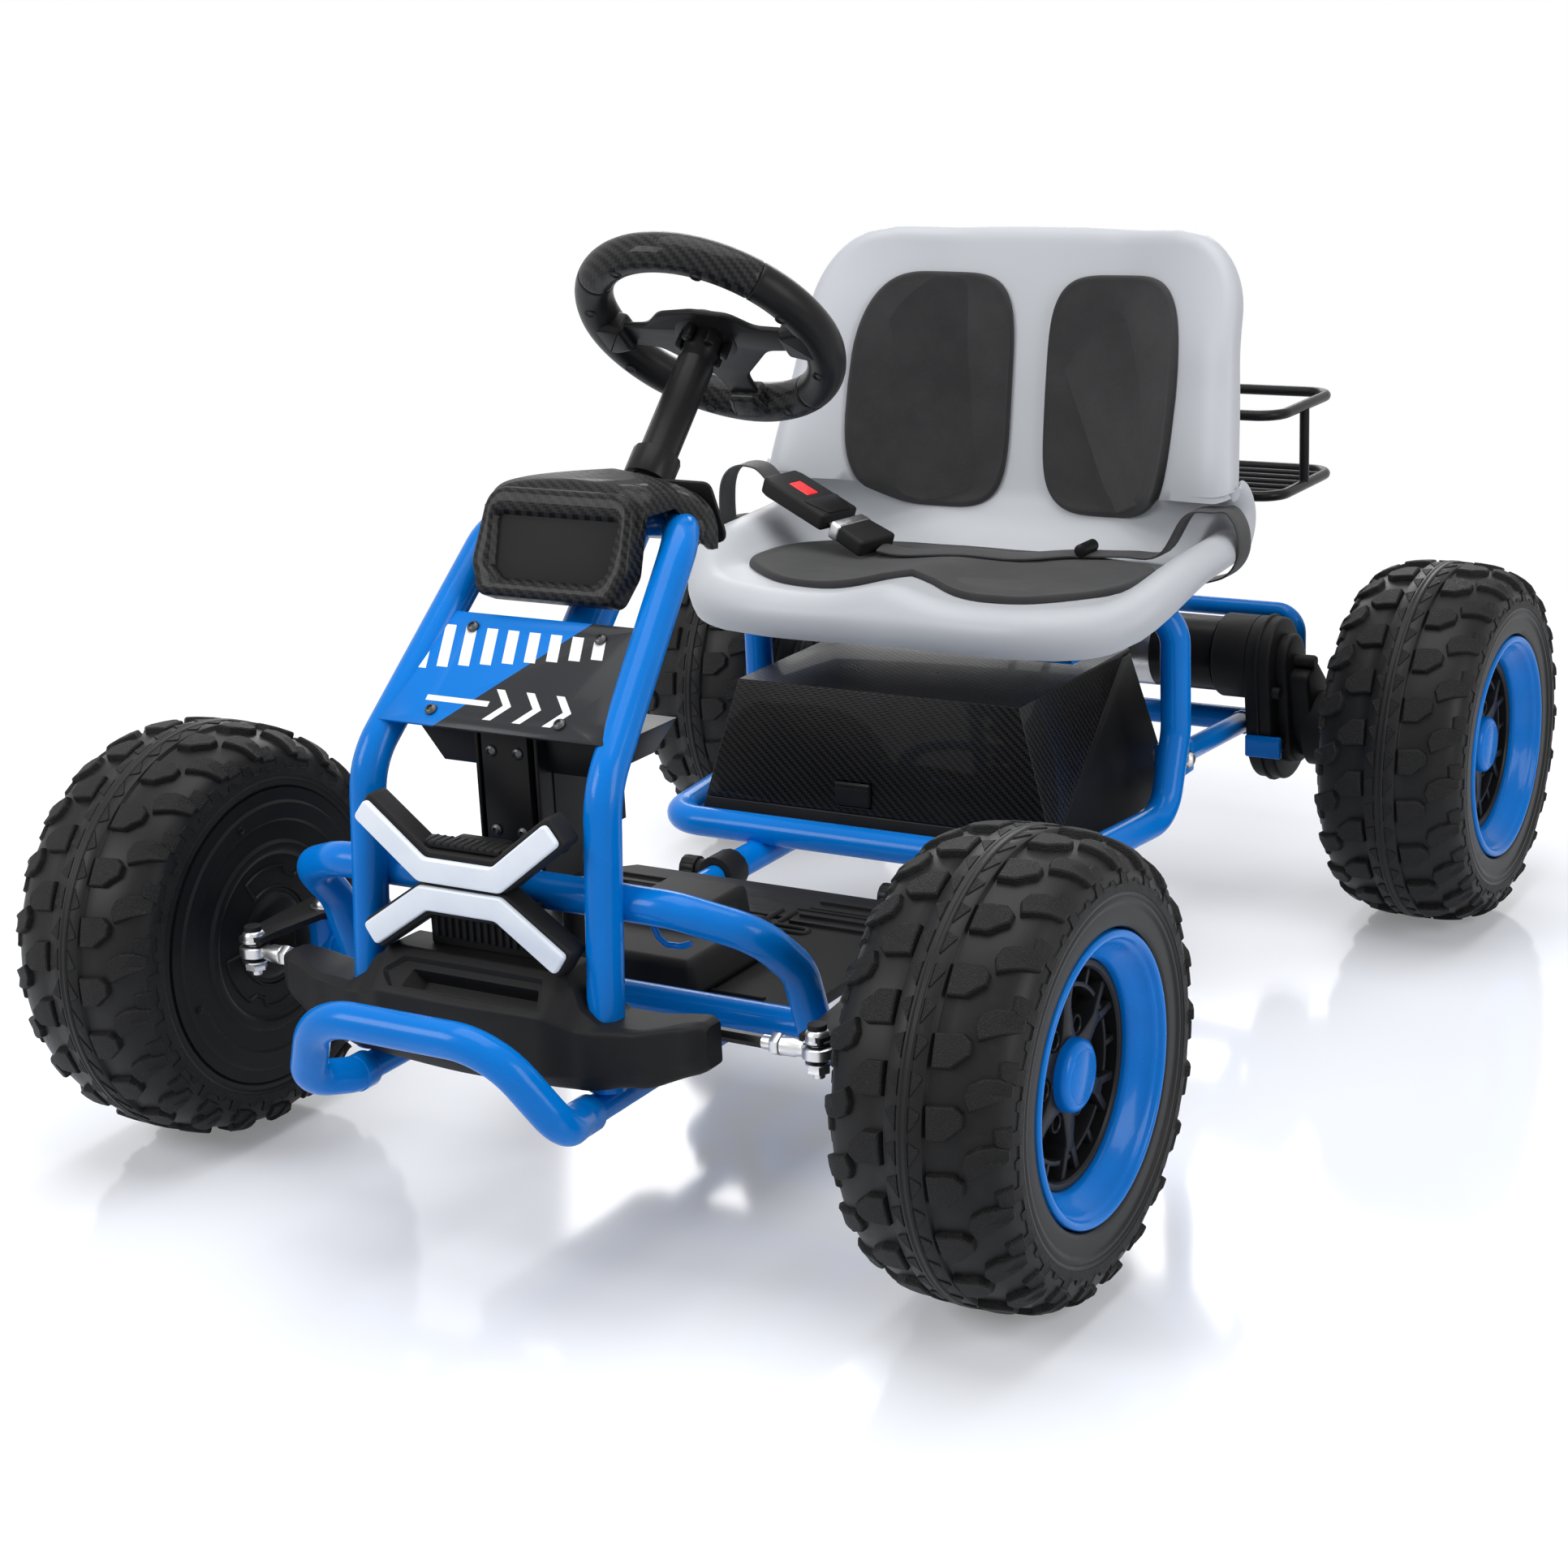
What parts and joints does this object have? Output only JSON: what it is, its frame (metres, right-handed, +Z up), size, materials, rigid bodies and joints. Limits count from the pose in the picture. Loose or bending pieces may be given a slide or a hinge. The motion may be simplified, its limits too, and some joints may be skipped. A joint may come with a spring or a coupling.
{
  "type": "off road go kart",
  "caption": "Child's off road go-kart with a blue tube frame, knobbly tyres, steering wheel, bucket seat with lap belt, rear motors and a wire basket.",
  "frame": {"origin": "on the floor under the middle of the kart's length and width", "axes": "+X to the driver's left, +Y to the rear of the kart, +Z up"},
  "size_m": [0.82, 1.3083, 0.675],
  "materials": {
    "blue_steel": "gloss paint",
    "blue_plastic": "gloss",
    "black_plastic": "fine grain",
    "gloss_black": "gloss",
    "black_steel": "satin paint",
    "tyre_rubber": "grained",
    "seat_plastic": "satin",
    "foam": "matt foam",
    "webbing": "woven",
    "zinc": "bright",
    "lamp_white": "satin",
    "red_plastic": "satin"
  },
  "bodies": {
    "front_chassis": {"mast_hoop": "blue_steel", "front_axle_frame": "blue_steel", "bumper_hoop": "blue_steel", "bumper_cover": "black_plastic", "lamp_body": "black_plastic", "lamp_lens_upper": "lamp_white", "lamp_lens_lower": "lamp_white", "front_plate": "blue_steel", "cowl_shell": "black_plastic", "cowl_panel": "gloss_black", "column_shroud": "black_plastic", "footboard": "black_plastic", "pedal_pod": "black_plastic"},
    "rear_chassis": {"cradle_tube": "blue_steel", "clamp_collar_left": "black_plastic", "clamp_collar_right": "black_plastic", "battery_box": "black_plastic", "battery": "black_plastic", "rear_subframe": "blue_steel", "motor_left": "black_steel", "motor_right": "black_steel", "gearbox_left": "black_plastic", "gearbox_right": "black_plastic", "basket": "black_steel", "seat_shell": "seat_plastic", "seat_bracket": "blue_steel", "back_pad_left": "foam", "back_pad_right": "foam", "seat_pad": "foam", "belt_left": "webbing", "belt_right": "webbing", "buckle": "black_plastic", "belt_tongue": "zinc"},
    "steering_wheel": {"steering_wheel_grip": "black_plastic", "steering_wheel_spokes": "black_steel", "steering_shaft": "black_steel"},
    "lower_steering": {"pitman_shaft": "black_steel"},
    "knuckle_left_body": {"knuckle_left": "black_steel"},
    "knuckle_right_body": {"knuckle_right": "black_steel"},
    "tie_rod_left_body": {"tie_rod_left": "black_steel"},
    "tie_rod_right_body": {"tie_rod_right": "black_steel"},
    "wheel_front_left": {"tyre_front_left": "tyre_rubber", "rim_front_left": "blue_plastic", "hub_front_left": "black_plastic"},
    "wheel_front_right": {"tyre_front_right": "tyre_rubber", "rim_front_right": "blue_plastic", "hub_front_right": "black_plastic"},
    "wheel_rear_left": {"tyre_rear_left": "tyre_rubber", "rim_rear_left": "blue_plastic", "hub_rear_left": "black_plastic"},
    "wheel_rear_right": {"tyre_rear_right": "tyre_rubber", "rim_rear_right": "blue_plastic", "hub_rear_right": "black_plastic"},
    "pedal": {"accelerator_pedal": "black_plastic"},
    "switch": {"drive_switch": "black_plastic"},
    "hood": {"battery_hood": "gloss_black"},
    "latch": {"hood_latch": "black_plastic"},
    "belt_button": {"buckle_button": "red_plastic"},
    "knob_left": {"clamp_knob_left": "black_plastic"},
    "knob_right": {"clamp_knob_right": "black_plastic"}
  },
  "joints": [
    {"name": "rear_adjust", "type": "slide", "parent": "front_chassis", "child": "rear_chassis", "axis": [0, 1, 0], "range_m": [-0.03, 0.1]},
    {"name": "steering", "type": "hinge", "parent": "front_chassis", "child": "steering_wheel", "pos_m": [0, -0.22615, 0.597], "axis": [0, 0.7009, 0.7133], "range_deg": [-28, 28]},
    {"name": "lower_shaft", "type": "hinge", "parent": "front_chassis", "child": "lower_steering", "pos_m": [0, -0.44165, 0.25], "axis": [0, 0, 1], "range_deg": [-28, 28]},
    {"name": "kingpin_left", "type": "hinge", "parent": "front_chassis", "child": "knuckle_left_body", "pos_m": [0.23, -0.44165, 0.15923], "axis": [0, 0, 1], "range_deg": [-28, 28]},
    {"name": "kingpin_right", "type": "hinge", "parent": "front_chassis", "child": "knuckle_right_body", "pos_m": [-0.23, -0.44165, 0.15923], "axis": [0, 0, 1], "range_deg": [-28, 28]},
    {"name": "tie_rod_end_left", "type": "hinge", "parent": "knuckle_left_body", "child": "tie_rod_left_body", "pos_m": [0.238, -0.51265, 0.177], "axis": [0, 0, 1], "range_deg": [-28, 28]},
    {"name": "tie_rod_end_right", "type": "hinge", "parent": "knuckle_right_body", "child": "tie_rod_right_body", "pos_m": [-0.238, -0.51265, 0.177], "axis": [0, 0, 1], "range_deg": [-28, 28]},
    {"name": "wheel_spin_front_left", "type": "hinge", "parent": "knuckle_left_body", "child": "wheel_front_left", "pos_m": [0.346, -0.44165, 0.15923], "axis": [1, 0, 0], "continuous": true},
    {"name": "wheel_spin_front_right", "type": "hinge", "parent": "knuckle_right_body", "child": "wheel_front_right", "pos_m": [-0.346, -0.44165, 0.15923], "axis": [1, 0, 0], "continuous": true},
    {"name": "wheel_spin_rear_left", "type": "hinge", "parent": "rear_chassis", "child": "wheel_rear_left", "pos_m": [0.346, 0.39735, 0.15923], "axis": [1, 0, 0], "continuous": true},
    {"name": "wheel_spin_rear_right", "type": "hinge", "parent": "rear_chassis", "child": "wheel_rear_right", "pos_m": [-0.346, 0.39735, 0.15923], "axis": [1, 0, 0], "continuous": true},
    {"name": "accelerator", "type": "hinge", "parent": "front_chassis", "child": "pedal", "pos_m": [-0.108, -0.27015, 0.155], "axis": [1, 0, 0], "range_deg": [0, 15], "stiffness_Nm_per_rad": 2},
    {"name": "drive_rocker", "type": "hinge", "parent": "front_chassis", "child": "switch", "pos_m": [0.046, -0.33832, 0.49], "axis": [1, 0, 0], "range_deg": [-10, 10]},
    {"name": "hood_pull", "type": "slide", "parent": "rear_chassis", "child": "hood", "axis": [0, -1, 0], "range_m": [0, 0.13]},
    {"name": "hood_latch_turn", "type": "hinge", "parent": "hood", "child": "latch", "pos_m": [-0.018, -0.01465, 0.1892], "axis": [-1, 0, 0], "range_deg": [0, 55]},
    {"name": "buckle_release", "type": "slide", "parent": "rear_chassis", "child": "belt_button", "axis": [-0.3505, 0.0745, -0.9336], "range_m": [0, 0.0025], "stiffness_N_per_m": 400},
    {"name": "clamp_turn_left", "type": "hinge", "parent": "rear_chassis", "child": "knob_left", "pos_m": [0.064, -0.10145, 0.13], "axis": [1, 0, 0], "range_deg": [-90, 90]},
    {"name": "clamp_turn_right", "type": "hinge", "parent": "rear_chassis", "child": "knob_right", "pos_m": [-0.124, -0.10145, 0.13], "axis": [1, 0, 0], "range_deg": [-90, 90]}
  ],
  "couplings": [
    {"joint": "lower_shaft", "follows": "steering", "ratio": 1},
    {"joint": "kingpin_left", "follows": "steering", "ratio": 1},
    {"joint": "kingpin_right", "follows": "steering", "ratio": 1},
    {"joint": "tie_rod_end_left", "follows": "steering", "ratio": -1},
    {"joint": "tie_rod_end_right", "follows": "steering", "ratio": -1}
  ]
}
